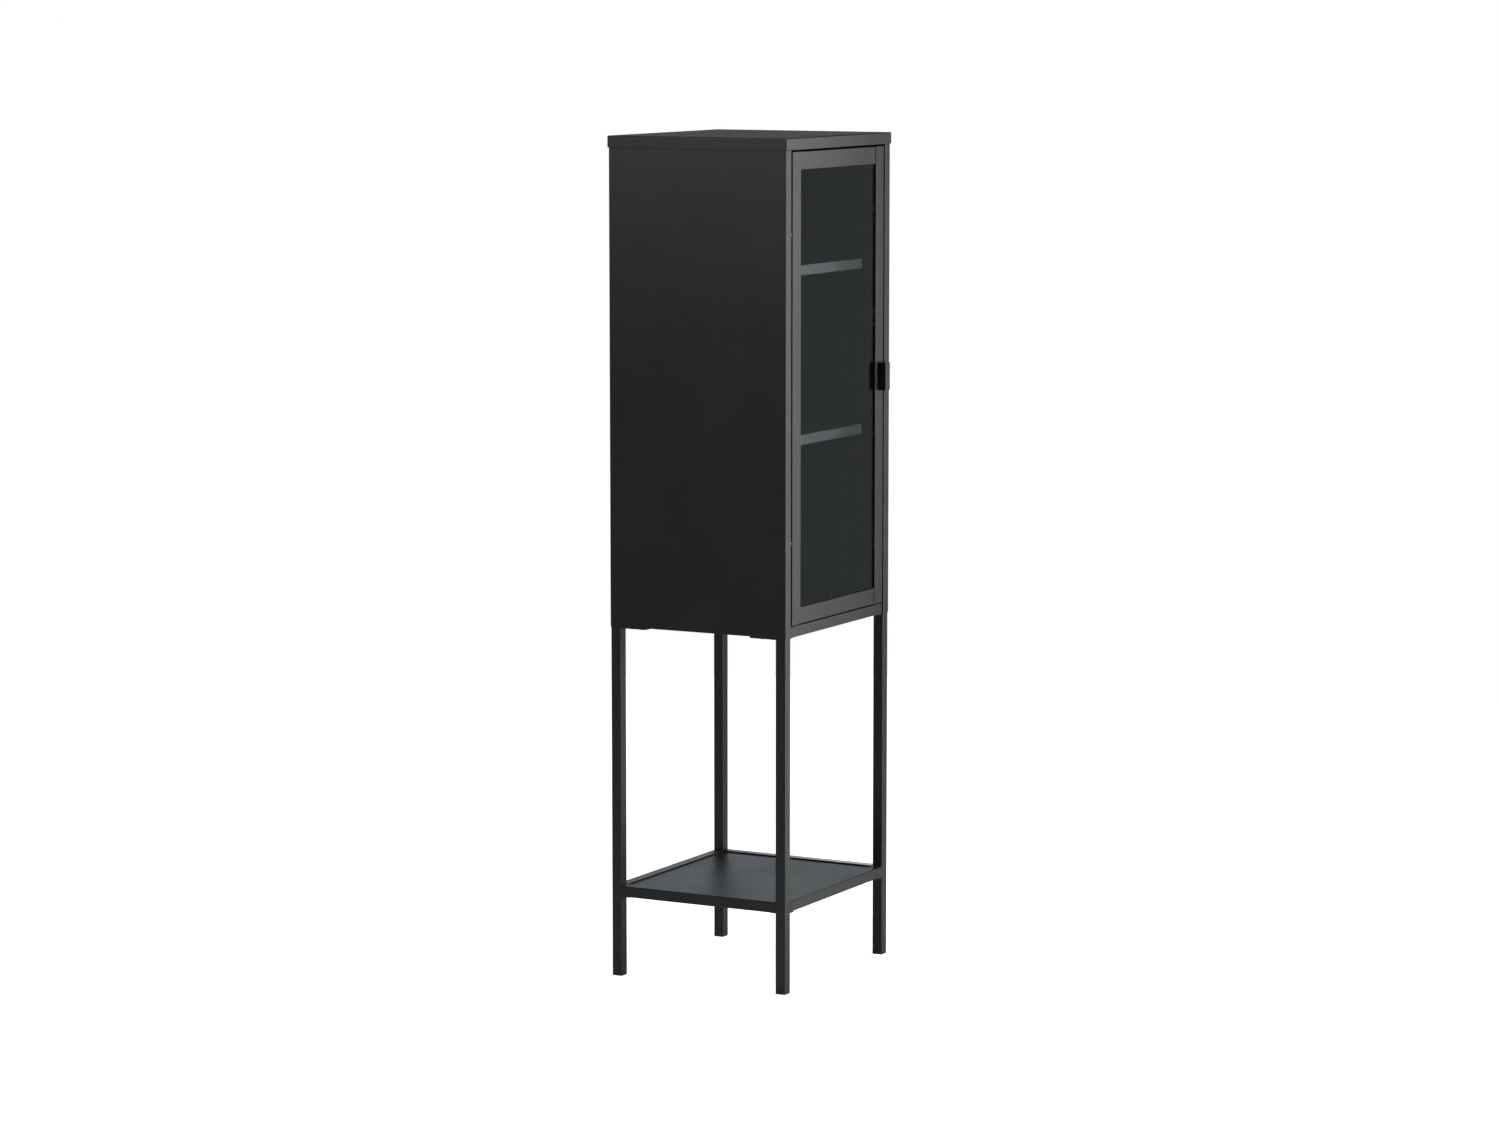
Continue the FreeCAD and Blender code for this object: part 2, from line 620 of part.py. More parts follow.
def shelf_strip(label, side, y):
    """A shallow channel whose web faces the inside of the cabinet."""
    x = "-(%s) - strip_depth" % STRIP_X if side < 0 else STRIP_X
    body = new_body(label, x, "front_y + %s" % y, "strip_bottom")
    wall = "back_sheet"
    points = [
        ("0", "0"),
        ("strip_depth", "0"),
        ("strip_depth", "strip_width"),
        ("0", "strip_width"),
        ("0", "strip_width - %s" % wall),
        ("strip_depth - %s" % wall, "strip_width - %s" % wall),
        ("strip_depth - %s" % wall, wall),
        ("0", wall),
    ]
    pad(body, outline(body, mirrored(points, side, "strip_depth")), "strip_length")
    slot = cut_box(body, ("3 * %s" % wall, "slot_size", "slot_size"),
                   (flip("strip_depth - 2 * %s" % wall, "3 * %s" % wall, side, "strip_depth"),
                    "(strip_width - slot_size) / 2", "slot_first - strip_bottom - slot_size / 2"))
    pattern(body, slot, "z", "slot_pitch", "slot_count")
    keep(body)


def shelf_pins():
    pins = []
    for top in ("shelf_upper_top", "shelf_lower_top"):
        z = "%s - shelf_height - joint_gap - pin_diameter / 2" % top
        for y in ("strip_front_y", "strip_rear_y"):
            middle = "front_y + %s + strip_width / 2" % y
            for side in (-1, 1):
                name = "pin_%d" % len(pins)
                neck = "(strip_depth - joint_gap)"
                if side < 0:
                    inner = "-(%s) + joint_gap" % STRIP_X
                    neck_x = "-(%s) - %s" % (STRIP_X, neck)
                else:
                    inner = "%s - joint_gap - pin_reach" % STRIP_X
                    neck_x = "%s - joint_gap * 2" % STRIP_X
                head = loose_cylinder(name + "_body", "pin_diameter", "pin_reach", (inner, middle, z), "x")
                length = neck + " + 2 * joint_gap"
                stem = loose_cylinder(name + "_neck", "pin_neck", length, (neck_x, middle, z), "x")
                pins.append(fused(name, [head, stem]))
    keep(compound("shelf_pins", pins))


# ---------------------------------------------------------------- base
def square_tube(body, axis, length):
    """A tube on the body's own origin, centred on the axis."""
    role = {"x": "YZ_Plane", "y": "XZ_Plane", "z": "XY_Plane"}[axis]
    reverse = axis == "y"
    section = rectangle("-tube / 2", "-tube / 2", "tube / 2", "tube / 2")
    pad(body, outline(body, section, role), length, reverse)
    corners = [(a, b) for a in ("-tube / 2", "tube / 2") for b in ("-tube / 2", "tube / 2")]
    round_edges(body, axis, corners, "tube_corner")
    inner = "(tube / 2 - tube_wall)"
    bore = outline(body, rectangle("-" + inner, "-" + inner, inner, inner), role)
    pocket(body, bore, length, reverse=not reverse)


def leg(sign_x, sign_y):
    x, y = leg_centre(sign_x, sign_y)
    body = new_body("leg_" + NAMES[sign_x, sign_y], x, y, "foot_height")
    square_tube(body, "z", "%s - foot_height - joint_gap" % LEG_TOP)
    keep(body)


def foot(sign_x, sign_y):
    x, y = leg_centre(sign_x, sign_y)
    body = new_body("foot_" + NAMES[sign_x, sign_y], x, y)
    half = "(tube / 2)"
    pad(body, outline(body, rectangle("-" + half, "-" + half, half, half)), "foot_height - joint_gap")
    corners = [(a, b) for a in ("-tube / 2", "tube / 2") for b in ("-tube / 2", "tube / 2")]
    round_edges(body, "z", corners, "tube_corner")
    stem = "(tube / 2 - tube_wall - joint_gap)"
    sketch = outline(body, rectangle("-" + stem, "-" + stem, stem, stem), height="foot_height - joint_gap")
    pad(body, sketch, "foot_stem")
    keep(body)


def leg_plate(sign_x, sign_y):
    x, y = leg_centre(sign_x, sign_y)
    body = new_body("leg_plate_" + NAMES[sign_x, sign_y], x, y, LEG_TOP)
    near_x, far_x = "%d * tube / 2" % sign_x, "%d * (plate_width - tube / 2)" % -sign_x
    near_y, far_y = "%d * tube / 2" % sign_y, "%d * (plate_length - tube / 2)" % -sign_y
    # Beside the leg the plate is set back, behind the front flange of the bottom panel.
    leg_x = "%d * tube / 2" % -sign_x
    back_y = "%d * (tube / 2 + leg_inset - floor_setback - sheet - 3 * joint_gap)" % sign_y
    points = [(near_x, near_y), (leg_x, near_y), (leg_x, back_y),
              (far_x, back_y), (far_x, far_y), (near_x, far_y)]
    pad(body, outline(body, points), "plate_thickness - joint_gap")
    round_edges(body, "z", [(far_x, far_y), (near_x, far_y), (far_x, back_y)], "3 * tube_corner")
    for step in PLATE_BOLTS:
        cut_cylinder(body, "bolt + 0.4", "2 * plate_thickness",
                     ("%d * plate_bolt_side" % -sign_x, "%d * %s" % (-sign_y, step), "-1"), "z")
    keep(body)


def plate_bolts():
    bolts = []
    for sign_x, sign_y in CORNERS:
        for step in PLATE_BOLTS:
            x, y = plate_bolt(sign_x, sign_y, step)
            name = "plate_bolt_%d" % len(bolts)
            bolts.append(headed_screw(name, (x, y, "%s - joint_gap" % LEG_TOP), "z", 1, "bolt",
                                      "plate_thickness + bolt_tip", "bolt_head", "bolt_head_height",
                                      "bolt_head * 0.36"))
    keep(compound("leg_plate_bolts", bolts))


def plate_nuts():
    """Hexagon nuts on the plate bolts, standing on the inward return of the bottom panel."""
    nuts = []
    for sign_x, sign_y in CORNERS:
        for step in PLATE_BOLTS:
            x, y = plate_bolt(sign_x, sign_y, step)
            name = "plate_nut_%d" % len(nuts)
            z = "cabinet_bottom + sheet + joint_gap"
            prism = doc.addObject("Part::Prism", name + "_prism")
            prism.Polygon = 6
            prism.setExpression("Circumradius", bound("nut_size / 2 / cos(30)"))
            prism.setExpression("Height", bound("bolt * 0.8"))
            for letter, text in zip("xyz", (x, y, z)):
                prism.setExpression("Placement.Base." + letter, bound(text))
            bore = loose_cylinder(name + "_bore", "bolt + 0.1", "bolt", (x, y, z + " - 0.5"), "z")
            nut = doc.addObject("Part::Cut", name)
            nut.Base = prism
            nut.Tool = bore
            nuts.append(nut)
    keep(compound("leg_plate_nuts", nuts))


def base_rails():
    span_x = "(cabinet_width - 2 * leg_inset - 2 * tube - 2 * joint_gap)"
    span_y = "(cabinet_depth - 2 * leg_inset - 2 * tube - 2 * joint_gap)"
    middle_z = "rail_bottom + tube / 2"
    inset = "(%s - tube / 2 - joint_gap)" % CORNER_SCREW
    for label, y in (("base_rail_front", LEG_FRONT_Y), ("base_rail_rear", LEG_REAR_Y)):
        body = new_body(label, "-%s / 2" % span_x, y, middle_z)
        square_tube(body, "x", span_x)
        for x in (inset, "%s - %s" % (span_x, inset)):
            cut_cylinder(body, "corner_screw + 0.4", "3 * tube_wall", (x, "0", "-tube / 2 - tube_wall"), "z")
        keep(body)
    for label, x, side in (("base_rail_left", "-%s" % LEG_X, -1), ("base_rail_right", LEG_X, 1)):
        body = new_body(label, x, "%s + tube / 2 + joint_gap" % LEG_FRONT_Y, middle_z)
        square_tube(body, "y", span_y)
        for y in (inset, "%s - %s" % (span_y, inset)):
            cut_cylinder(body, "corner_screw + 0.4", "3 * tube_wall",
                         ("%d * corner_inset_x / 2" % -side, y, "-tube / 2 - tube_wall"), "z")
        keep(body)


def base_shelf():
    width = "(cabinet_width - 2 * leg_inset - 2 * tube - 2 * base_seam)"
    depth = "(cabinet_depth - 2 * leg_inset - 2 * tube - 2 * base_seam)"
    top = "(rail_bottom + tube - base_recess)"
    front = "%s + tube / 2 + base_seam" % LEG_FRONT_Y
    body = new_body("base_shelf", "-%s / 2" % width, front, "%s - base_flange" % top)
    pad(body, outline(body, rectangle("0", "0", width, depth)), "base_flange")
    for axis, spots in (("x", [("0", "base_flange"), (depth, "base_flange")]),
                        ("y", [("0", "base_flange"), (width, "base_flange")])):
        round_edges(body, axis, spots, "sheet * 0.6")
    inside = rectangle("sheet", "sheet", width + " - sheet", depth + " - sheet")
    pocket(body, outline(body, inside), "base_flange - sheet", reverse=True)
    for y in ("sheet - 0.1", depth + " - sheet - shelf_hem + 0.1"):
        add_box(body, (width + " - 2 * sheet + 0.2", "shelf_hem", "sheet"), ("sheet - 0.1", y, "0"))
    keep(body)


CORNER_SCREW = "(tube / 2 + corner_reach / 2)"


def corner_holes(sign_x, sign_y):
    """The two screws of a corner plate, from the middle of the leg: one under each rail."""
    return [("%d * %s" % (-sign_x, CORNER_SCREW), "0"),
            ("%d * corner_inset_x / 2" % -sign_x, "%d * %s" % (-sign_y, CORNER_SCREW))]


def base_corner(sign_x, sign_y):
    """An L-shaped plate under the two rails that meet at a leg."""
    x, y = leg_centre(sign_x, sign_y)
    body = new_body("base_corner_" + NAMES[sign_x, sign_y], x, y, "rail_bottom - corner_plate")
    out_x, out_y = "%d * (tube / 2 - corner_inset_x)" % sign_x, "%d * (tube / 2 - corner_inset_y)" % sign_y
    leg_x, leg_y = "%d * (tube / 2 + joint_gap)" % -sign_x, "%d * (tube / 2 + joint_gap)" % -sign_y
    far_x, far_y = "%d * (tube / 2 + corner_reach)" % -sign_x, "%d * (tube / 2 + corner_reach)" % -sign_y
    points = [(leg_x, out_y), (far_x, out_y), (far_x, far_y), (out_x, far_y), (out_x, leg_y), (leg_x, leg_y)]
    pad(body, outline(body, points), "corner_plate - joint_gap")
    round_edges(body, "z", [(far_x, far_y)], "4 * tube_corner")
    for hole_x, hole_y in corner_holes(sign_x, sign_y):
        cut_cylinder(body, "corner_screw + 0.4", "2 * corner_plate", (hole_x, hole_y, "-1"), "z")
        cone = feature(body, "SubtractiveCone",
                       Radius1="corner_screw_head / 2 + 0.1", Radius2="corner_screw / 2 + 0.1",
                       Height="corner_screw_cone")
        placed(cone, hole_x, hole_y, "0")
    keep(body)


def corner_screws():
    """Countersunk screws, flush with the underside of the corner plates."""
    screws = []
    for sign_x, sign_y in CORNERS:
        x, y = leg_centre(sign_x, sign_y)
        for hole_x, hole_y in corner_holes(sign_x, sign_y):
            name = "corner_screw_%d" % len(screws)
            spot = (x + " + " + hole_x, y + " + " + hole_y, "rail_bottom - corner_plate")
            length = "corner_plate + tube_wall + corner_screw_tip"
            shank = loose_cylinder(name + "_shank", "corner_screw", length, spot, "z")
            head = doc.addObject("Part::Cone", name + "_head")
            for prop, text in (("Radius1", "corner_screw_head / 2"), ("Radius2", "corner_screw / 2 - 0.01"),
                               ("Height", "corner_screw_cone")):
                head.setExpression(prop, bound(text))
            placed(head, *spot)
            recess = loose_cylinder(name + "_recess", "corner_screw * 0.6", "corner_screw_cone * 0.6",
                                    spot, "z")
            screw = doc.addObject("Part::Cut", name)
            screw.Base = fused(name + "_joined", [shank, head])
            screw.Tool = recess
            screws.append(screw)
    keep(compound("base_corner_screws", screws))


# ---------------------------------------------------------------- door
def door_stile(label, side):
    """Folded channel, full height: front face, outer return with a rear lip, and a short hem at the glass."""
    left = "-door_width / 2" if side < 0 else "door_width / 2 - frame_face"
    body = new_body(label, left, "front_y", "door_bottom")
    points = [
        ("0", "0"),
        ("frame_face", "0"),
        ("frame_face", "reveal"),
        ("frame_face - sheet", "reveal"),
        ("frame_face - sheet", "sheet"),
        ("sheet", "sheet"),
        ("sheet", "door_depth - sheet"),
        ("door_lip", "door_depth - sheet"),
        ("door_lip", "door_depth"),
        ("0", "door_depth"),
    ]
    pad(body, outline(body, mirrored(points, side, "frame_face")), "door_height")
    round_edges(body, "z", mirrored([("0", "0")], side, "frame_face"), "fold_radius")
    round_edges(body, "z", mirrored([("frame_face", "0")], side, "frame_face"), "inner_fold")
    for z in ("0", "door_height - sheet"):
        add_box(body, ("door_lip - sheet + 0.1", "door_depth - 2 * sheet + 0.2", "sheet"),
                (flip("sheet - 0.1", "door_lip - sheet + 0.1", side, "frame_face"), "sheet - 0.1", z))
    if side < 0:
        # Slots in the outer return for the two hinge lugs.
        for level in HINGE_LEVELS:
            cut_box(body, ("3 * sheet", "lug_rear + lug_front + 0.3", "lug_thickness + 0.4"),
                    ("-sheet", "hinge_depth - lug_front - 0.05",
                     "%s + lug_thickness + lug_gap - door_bottom - 0.2" % level))
    else:
        for sign in (-1, 1):
            cut_cylinder(body, "handle_screw + 0.2", "3 * sheet",
                         (HANDLE_SCREW_X + " - door_width / 2 + frame_face", "-sheet",
                          "door_height / 2 + %d * handle_screw_spacing / 2" % sign), "y")
    keep(body)


HANDLE_SCREW_X = "(handle_web_x + handle_base / 2 + handle_sheet / 2)"


def door_rail(label, upper):
    """Folded channel between the stiles, set back a little, with its return at the edge of the door."""
    length = "(door_width - 2 * frame_face - 2 * rail_seam)"
    face = "frame_face" if upper else "bottom_face"
    z = "door_bottom + door_height - frame_face" if upper else "door_bottom"
    body = new_body(label, "-%s / 2" % length, "front_y", z)
    points = [
        ("rail_step", "0"),
        ("rail_step", face),
        ("rail_step + sheet", face),
        ("rail_step + sheet", "sheet"),
        ("door_depth - sheet", "sheet"),
        ("door_depth - sheet", "door_lip"),
        ("door_depth", "door_lip"),
        ("door_depth", "0"),
    ]
    if upper:
        points = [(y, "%s - (%s)" % (face, z)) for y, z in points]
    pad(body, outline(body, points, "YZ_Plane"), length)
    outer, inner = (face, "0") if upper else ("0", face)
    round_edges(body, "x", [("rail_step", outer)], "fold_radius")
    round_edges(body, "x", [("rail_step", inner)], "inner_fold")
    keep(body)


def door_seal():
    """Thin ring of seal strip behind the frame, of which a narrow edge shows inside the opening."""
    width = "(door_width - 2 * frame_face)"
    depth_y = "front_y + reveal + joint_gap / 2"
    body = new_body("door_seal", "-%s / 2" % width, depth_y, OPENING_BOTTOM)
    outer = rectangle("-seal_lap", "-seal_lap", width + " + seal_lap", OPENING_HEIGHT + " + seal_lap")
    inner = rectangle("seal_show", "seal_show", width + " - seal_show", OPENING_HEIGHT + " - seal_show")
    pad(body, outline(body, outer, "XZ_Plane"), "seal_thickness - joint_gap", reverse=True)
    pocket(body, outline(body, inner, "XZ_Plane"), "2 * seal_thickness")
    keep(body)


def door_glass():
    width = "(door_width - 2 * frame_face + 2 * glass_lap)"
    height = "(%s + 2 * glass_lap)" % OPENING_HEIGHT
    body = new_body("door_glass", "-%s / 2" % width, "front_y + reveal + seal_thickness",
                    OPENING_BOTTOM + " - glass_lap")
    pad(body, outline(body, rectangle("0", "0", width, height), "XZ_Plane"), "glass_thickness", reverse=True)
    keep(body)


GLASS_EDGE = "(door_width / 2 - frame_face + glass_lap)"
GLASS_BACK = "(front_y + reveal + seal_thickness + glass_thickness)"


def clip_levels():
    for index in range(int(value("clip_count"))):
        yield "(%s + clip_inset + %d * %s)" % (OPENING_BOTTOM, index, CLIP_PITCH)


def glass_clips():
    """Plastic clips that hold the glass from behind, screwed into the door stiles."""
    clips = []
    screws = []
    base_y = "(front_y + sheet + joint_gap)"
    for side in (-1, 1):
        for level in clip_levels():
            name = "clip_%d" % len(clips)
            z = "%s - clip_height / 2" % level
            near = "(%s + 3 * joint_gap)" % GLASS_EDGE
            base_x = near if side > 0 else "-%s - clip_width" % near
            block_depth = "%s + 2 * joint_gap - %s + 0.1" % (GLASS_BACK, base_y)
            block = loose_box(name + "_block", ("clip_width", block_depth, "clip_height"),
                              (base_x, base_y, z))
            tongue = loose_box(name + "_tongue", ("clip_width + clip_grip", "clip_tongue", "clip_height"),
                               ("%s - clip_grip" % near if side > 0 else "-%s - clip_width" % near,
                                "%s + 2 * joint_gap" % GLASS_BACK, z))
            solid = fused(name + "_solid", [block, tongue])
            middle = "(%s + clip_width / 2)" % near
            x = middle if side > 0 else "-%s" % middle
            bore = loose_cylinder(name + "_bore", "clip_screw + 0.1", "door_depth",
                                  (x, base_y + " - 1", level), "y")
            clip = doc.addObject("Part::Cut", name)
            clip.Base = solid
            clip.Tool = bore
            clips.append(clip)
            seat = (x, "%s + 3 * joint_gap + clip_tongue" % GLASS_BACK, level)
            screws.append(headed_screw("clip_screw_%d" % len(screws), seat, "y", -1, "clip_screw",
                                       "%s + 3 * joint_gap + clip_tongue - %s" % (GLASS_BACK, base_y),
                                       "clip_screw * 1.9", "clip_screw * 0.6", "clip_screw * 0.7"))
    keep(compound("glass_clips", clips))
    keep(compound("glass_clip_screws", screws))


def door_handle():
    """Pull bent from one strip: base flange on the door, web, and front lip, all turned the same way."""
    height = "door_bottom + door_height / 2 - handle_height / 2"
    body = new_body("door_handle", "handle_web_x", "front_y - joint_gap", height)
    web = "handle_sheet"
    reach = "(handle_reach - joint_gap)"
    points = [
        ("0", "0"),
        ("handle_base", "0"),
        ("handle_base", "-%s" % web),
        (web, "-%s" % web),
        (web, "-%s + %s" % (reach, web)),
        ("handle_lip", "-%s + %s" % (reach, web)),
        ("handle_lip", "-%s" % reach),
        ("0", "-%s" % reach),
    ]
    pad(body, outline(body, points), "handle_height")
    round_edges(body, "z", [("0", "0"), ("0", "-%s" % reach)], "handle_sheet * 0.8")
    round_edges(body, "y", [("handle_lip", "0"), ("handle_lip", "handle_height")], "handle_corner")
    for sign in (-1, 1):
        cut_cylinder(body, "handle_screw", "2 * handle_sheet",
                     (HANDLE_SCREW_X + " - handle_web_x", "-1.5 * handle_sheet",
                      "handle_height / 2 + %d * handle_screw_spacing / 2" % sign), "y")
    keep(body)


def handle_screws():
    screws = []
    for sign in (-1, 1):
        seat = (HANDLE_SCREW_X, "front_y + sheet + joint_gap",
                "door_bottom + door_height / 2 + %d * handle_screw_spacing / 2" % sign)
        screws.append(headed_screw("handle_screw_%d" % len(screws), seat, "y", -1, "handle_screw - 0.1",
                                   "sheet + handle_sheet + 2 * joint_gap", "handle_screw * 1.8",
                                   "handle_screw * 0.55", "handle_screw * 0.6"))
    keep(compound("handle_screws", screws))


# ---------------------------------------------------------------- hinges
def hinge_lug(label, level, side):
    """Thin lug round the pin, on a tab inside the stile of the cabinet (side -1) or of the door (side 1)."""
    body = new_body(label, HINGE_X, HINGE_Y, level)
    gap = "((cabinet_width / 2 - stile_width - door_width / 2) / 2)"
    tab_near = "(%s + sheet + joint_gap)" % gap
    reach = "(%s + lug_thickness)" % tab_near
    add_cylinder(body, "2 * lug_nose", "lug_thickness", ("0", "0", "0"), "z")
    tongue_x = "0" if side > 0 else "-%s" % reach
    add_box(body, (reach, "lug_front + lug_rear", "lug_thickness"), (tongue_x, "-lug_front", "0"))
    tab_x = tab_near if side > 0 else "-%s" % reach
    add_box(body, ("lug_thickness", "lug_tab_depth", "lug_tab"),
            (tab_x, "sheet + joint_gap - hinge_depth", "lug_thickness / 2 - lug_tab / 2"))
    play = "2 * hinge_play" if side > 0 else "0.02"
    cut_cylinder(body, "hinge_pin + " + play, "3 * lug_thickness", ("0", "0", "-lug_thickness"), "z")
    keep(body)


def hinge_pin(label, level):
    body = new_body(label, HINGE_X, HINGE_Y, level)
    stack = "(2 * lug_thickness + 2 * lug_gap)"
    add_cylinder(body, "hinge_pin", stack + " + 0.6", ("0", "0", "-0.6"), "z")
    add_cylinder(body, "pin_head", "pin_head_height", ("0", "0", stack), "z")
    keep(body)


# ---------------------------------------------------------------- magnet catch
CATCH_Y = "(front_y + door_depth + strike_sheet + joint_gap + catch_gap)"
CATCH_X = "(cabinet_width / 2 - stile_width - joint_gap - catch_width)"


def catch():
    body = new_body("catch_body", CATCH_X, CATCH_Y, "catch_z - catch_height / 2")
    add_box(body, ("catch_width", "catch_depth", "catch_height"), ("0", "0", "0"))
    ear_y = "(stile_return + joint_gap + front_y - %s)" % CATCH_Y
    add_box(body, ("stile_lip + joint_gap + 0.1", "catch_ear", "catch_height"),
            ("catch_width - 0.1", ear_y, "0"))
    for sign in (-1, 1):
        cut_cylinder(body, "panel_screw + 0.2", "6",
                     ("catch_width + joint_gap + stile_lip / 2", ear_y + " - 1",
                      "catch_height / 2 + %d * catch_screw_offset" % sign), "y")
    cut_box(body, ("magnet_width + 2 * joint_gap", "6", "magnet_height + 2 * joint_gap"),
            ("magnet_inset - joint_gap", "-1",
             "catch_height / 2 - magnet_height / 2 - joint_gap"))
    keep(body)
    magnet = new_body("catch_magnet", "%s + magnet_inset" % CATCH_X, CATCH_Y,
                      "catch_z - magnet_height / 2")
    add_box(magnet, ("magnet_width", "magnet_depth", "magnet_height"), ("0", "0", "0"))
    keep(magnet)
    screws = []
    for sign in (-1, 1):
        seat = ("%s + catch_width + joint_gap + stile_lip / 2" % CATCH_X,
                "front_y + stile_return + 2 * joint_gap + catch_ear",
                "catch_z + %d * catch_screw_offset" % sign)
        screws.append(headed_screw("catch_screw_%d" % len(screws), seat, "y", -1, "panel_screw",
                                   "catch_screw_length", "panel_screw_head * 0.85", "panel_screw_head_height",
                                   "panel_screw * 0.6"))
    keep(compound("catch_screws", screws))
    strike = new_body("strike_plate", "door_width / 2 - 0.5 - strike_width",
                      "front_y + door_depth + joint_gap", "catch_z - strike_height / 2")
    add_box(strike, ("strike_width", "strike_sheet", "strike_height"), ("0", "0", "0"))
    corners = [("0", "0"), ("0", "strike_height"), ("strike_width", "0"), ("strike_width", "strike_height")]
    round_edges(strike, "y", corners, "strike_corner")
    keep(strike)


# ---------------------------------------------------------------- panel screws
def top_screws():
    screws = []
    for side in (-1, 1):
        for y in TOP_TABS:
            seat = ("%d * %s" % (side, TOP_SCREW_X), "front_y + %s + tab_length / 2" % y,
                    TAB_Z + " - joint_gap")
            screws.append(headed_screw("top_screw_%d" % len(screws), seat, "z", 1, "top_screw",
                                       "tab_drop - joint_gap", "top_screw * 1.8", "top_screw * 0.5",
                                       "top_screw * 0.6"))
    keep(compound("top_panel_screws", screws))


def back_screws():
    screws = []
    for side in (-1, 1):
        for index in range(int(value("back_screw_count"))):
            x = "%d * (%s - back_screw_inset)" % (side, HALF)
            seat = (x, "%s + joint_gap" % REAR_Y, "back_screw_first + %d * back_screw_pitch" % index)
            screws.append(headed_screw("back_screw_%d" % len(screws), seat, "y", -1, "panel_screw - 0.6",
                                       "back_screw_length", "panel_screw_head", "panel_screw_head_height",
                                       "panel_screw * 0.6"))
    keep(compound("back_screws", screws))


for build in (top_panel, back_panel, bottom_panel, base_rails, base_shelf, door_seal, door_glass, shelf_pins,
              plate_bolts, plate_nuts, corner_screws, glass_clips, door_handle, handle_screws, catch, back_screws,
              top_screws):
    build()
for label, side in (("left", -1), ("right", 1)):
    side_panel("side_panel_" + label, side)
    door_stile("door_stile_" + label, side)
    shelf_strip("shelf_strip_front_" + label, side, "strip_front_y")
    shelf_strip("shelf_strip_rear_" + label, side, "strip_rear_y")
door_rail("door_rail_top", True)
door_rail("door_rail_bottom", False)
inner_shelf("shelf_upper", "shelf_upper_top")
inner_shelf("shelf_lower", "shelf_lower_top")
for corner in CORNERS:
    leg(*corner)
    foot(*corner)
    leg_plate(*corner)
    base_corner(*corner)
for label, level in zip(("lower", "upper"), HINGE_LEVELS):
    hinge_lug("cabinet_lug_" + label, level, -1)
    hinge_lug("door_lug_" + label, "%s + lug_thickness + lug_gap" % level, 1)
    hinge_pin("hinge_pin_" + label, level)

doc.recompute()

faults = []
for item in doc.Objects:
    if any(word in item.State for word in ("Invalid", "Error")):
        faults.append("%s: %s" % (item.Label, item.State))
for item in NODES:
    if item.Shape.isNull() or not item.Shape.isValid():
        faults.append("%s: bad shape" % item.Label)
if faults:
    raise SystemExit("\n".join(faults))

os.makedirs("parts", exist_ok=True)
for item in NODES:
    item.Shape.exportStep("parts/%s.step" % item.Label)
    box = item.Shape.BoundBox
    print("%-26s %2d solid(s) %10.0f mm3  x %7.1f %7.1f  y %7.1f %7.1f  z %7.1f %7.1f" % (
        item.Label, len(item.Shape.Solids), item.Shape.Volume,
        box.XMin, box.XMax, box.YMin, box.YMax, box.ZMin, box.ZMax))
print(len(NODES), "nodes")
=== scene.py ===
import json
import math

import bmesh
import bpy
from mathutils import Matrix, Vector

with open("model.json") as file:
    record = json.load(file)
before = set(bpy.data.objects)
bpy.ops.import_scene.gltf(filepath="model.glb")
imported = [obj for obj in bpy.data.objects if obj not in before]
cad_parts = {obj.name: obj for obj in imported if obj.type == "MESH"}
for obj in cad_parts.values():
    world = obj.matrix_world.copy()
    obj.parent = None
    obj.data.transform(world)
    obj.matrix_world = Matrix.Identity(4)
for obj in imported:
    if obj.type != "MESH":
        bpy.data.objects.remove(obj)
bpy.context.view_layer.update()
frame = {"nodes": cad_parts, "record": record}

# ---------------------------------------------------------------- camera
# Long lens, as in a catalogue picture: the cabinet seen from its front left, a little above its middle.
LENS_MM = 108.66
SENSOR_MM = 36.0
CLIP_NEAR, CLIP_FAR = 0.05, 100.0
CAMERA_AT = (-7.3468, -3.9123, 1.8156)
CAMERA_TURN = (82.763, 0.0, -61.914)

# ---------------------------------------------------------------- studio
COOL = (0.945, 1.0, 0.965)
BLUE = (0.90, 1.0, 1.06)
PLAIN = (0.99, 1.0, 1.09)
# Soft boxes: name, place, point it faces, width, height, power in watts, colour.
SOFT_BOXES = [
    ("left_over", (-1.6, 0.6, 3.3), (0.0, 0.0, 1.2), 1.4, 1.4, 24.0, PLAIN),
    ("left_up", (-2.6, 1.2, 2.3), (0.0, 0.0, 1.4), 1.0, 1.0, 17.0, PLAIN),
    ("right_high", (3.6, -0.7, 2.2), (0.0, -0.2, 1.1), 1.5, 1.5, 2.0, COOL),
    ("back_right", (2.7, 1.6, 2.6), (0.0, 0.0, 1.0), 1.6, 1.4, 0.9, BLUE),
    ("back_right_low", (3.3, 1.75, 1.2), (0.0, 0.0, 1.0), 1.6, 1.0, 3.6, BLUE),
    ("near_high", (1.0, -1.8, 1.8), (-0.1, -0.2, 1.1), 1.0, 1.0, 1.9, COOL),
    ("near_right", (1.8, -2.0, 1.2), (-0.1, -0.2, 1.0), 1.0, 1.2, 12.6, COOL),
    ("near_low", (1.0, -2.2, 0.7), (-0.1, -0.2, 0.9), 1.0, 1.0, 21.2, COOL),
    ("close_high", (0.7, -1.1, 1.9), (-0.15, -0.18, 1.2), 0.6, 0.8, 1.75, COOL),
    ("close_low", (0.7, -1.1, 0.9), (-0.15, -0.18, 0.8), 0.6, 0.8, 1.9, COOL),
    ("close_floor", (0.5, -0.8, 0.38), (-0.15, -0.18, 0.48), 0.5, 0.75, 1.2, COOL),
    ("close_door", (0.35, -0.75, 1.55), (-0.2, -0.18, 1.2), 0.4, 0.6, 1.4, COOL),
]
